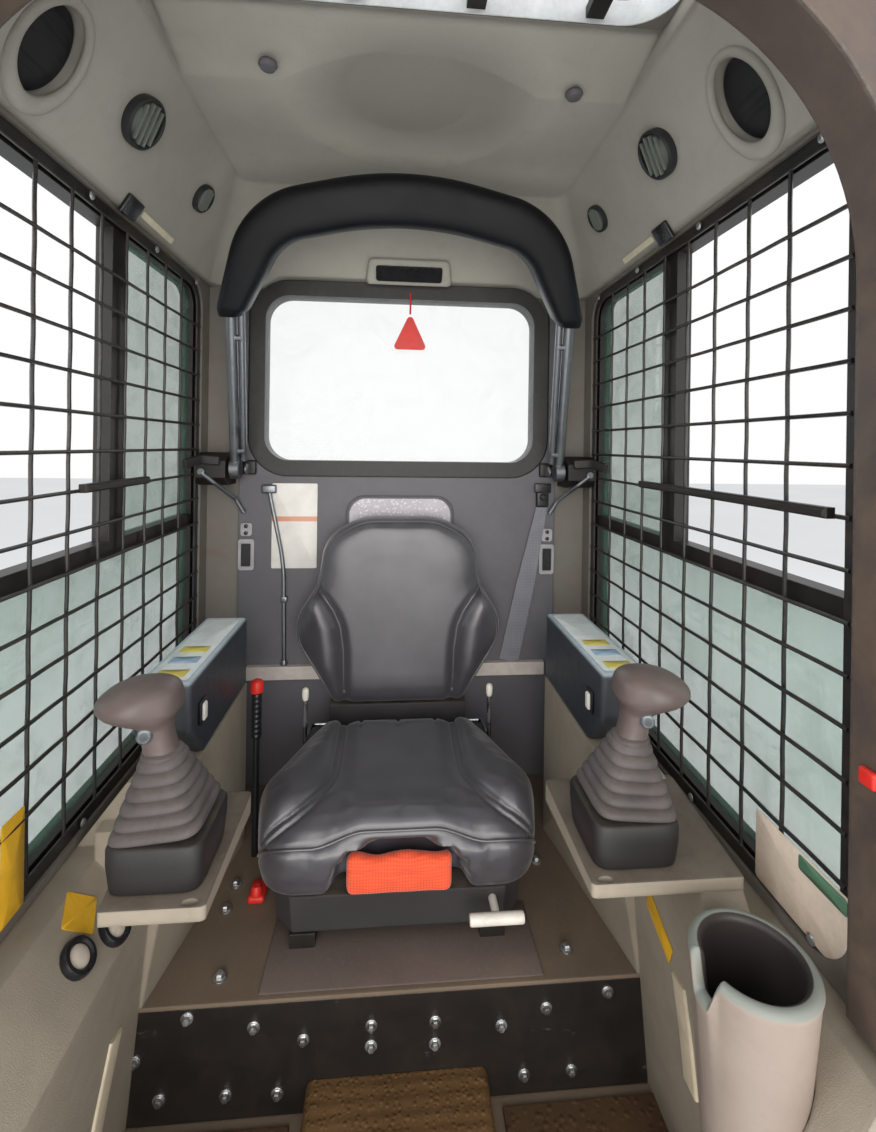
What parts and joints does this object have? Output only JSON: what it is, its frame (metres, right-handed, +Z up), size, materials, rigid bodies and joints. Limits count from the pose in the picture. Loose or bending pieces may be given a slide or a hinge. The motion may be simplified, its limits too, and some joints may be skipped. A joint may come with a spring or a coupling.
{
  "type": "skid steer loader operator cab",
  "caption": "Operator's cab of a skid steer loader: steel shell with meshed side windows, headliner, seat on runners, lever towers and a padded bar that swings down.",
  "frame": {"origin": "middle of the cab's underside", "axes": "+X to the right of a view in through the door, +Y from the door to the rear wall, +Z up"},
  "size_m": [0.98, 0.96, 1.57],
  "materials": {
    "shell_paint": "satin, dirty",
    "hoop_paint": "satin, worn",
    "floor_paint": "matte, dusty",
    "black_metal": "satin",
    "wire": "satin",
    "grey_metal": "satin",
    "liner": "fine grain",
    "trim": "fine grain",
    "dark_trim": "fine grain",
    "slate": "satin",
    "grip": "satin",
    "boot": "matte",
    "mat": "matte, dusty",
    "seal": "matte",
    "vinyl": "satin",
    "foam": "matte",
    "tinted_glass": "clear, green tint",
    "clear_glass": "clear",
    "webbing": "woven",
    "orange": "woven",
    "red": "satin",
    "white": "satin",
    "cup": "satin",
    "lamp": "smoked"
  },
  "bodies": {
    "cab": {"air_vents": "dark_trim", "armrest_left": "slate", "armrest_right": "slate", "base_rails": "shell_paint", "belt_retractor": "dark_trim", "boot_left": "boot", "boot_right": "boot", "bulkhead": "black_metal", "centre_step": "mat", "cup_holder": "cup", "foot_floor": "floor_paint", "front_hoop": "hoop_paint", "header_lamp": "lamp", "headliner": "liner", "hip_lever": "red", "lever_left": "grip", "lever_right": "grip", "rear_cross_bar": "trim", "rear_glass": "clear_glass", "rear_hump": "dark_trim", "rear_trim": "dark_trim", "rear_wall": "shell_paint", "rear_window_seal": "seal", "release_tag": "red", "restraint_pivots": "dark_trim", "roof": "shell_paint", "roof_glass": "clear_glass", "roof_guard_bars": "black_metal", "seat_belt": "webbing", "seat_deck": "floor_paint", "seat_runners": "black_metal", "side_glass_left": "tinted_glass", "side_glass_right": "tinted_glass", "side_screen_left": "wire", "side_screen_right": "wire", "side_trim_left": "trim", "side_trim_right": "trim", "side_wall_left": "shell_paint", "side_wall_right": "shell_paint", "side_window_frame_left": "black_metal", "side_window_frame_right": "black_metal", "speaker_grilles": "dark_trim", "stay_rod": "grey_metal", "toe_sill": "hoop_paint", "tower_left": "boot", "tower_right": "boot", "trim_sockets": "dark_trim", "window_catches": "black_metal"},
    "restraint": {"restraint_bar": "grey_metal", "restraint_pad": "foam"},
    "seat": {"orange_pouch": "orange", "recline_levers": "white", "seat_back_frame": "dark_trim", "seat_backrest": "vinyl", "seat_cushion": "vinyl", "seat_pan": "dark_trim", "slide_handle": "white"}
  },
  "joints": [
    {"name": "restraint_swing", "type": "hinge", "parent": "cab", "child": "restraint", "pos_m": [0, 0.374, 0.919], "axis": [1, 0, 0], "range_deg": [0, 93]},
    {"name": "seat_slide", "type": "slide", "parent": "cab", "child": "seat", "axis": [0, -1, 0], "range_m": [0, 0.1]}
  ]
}
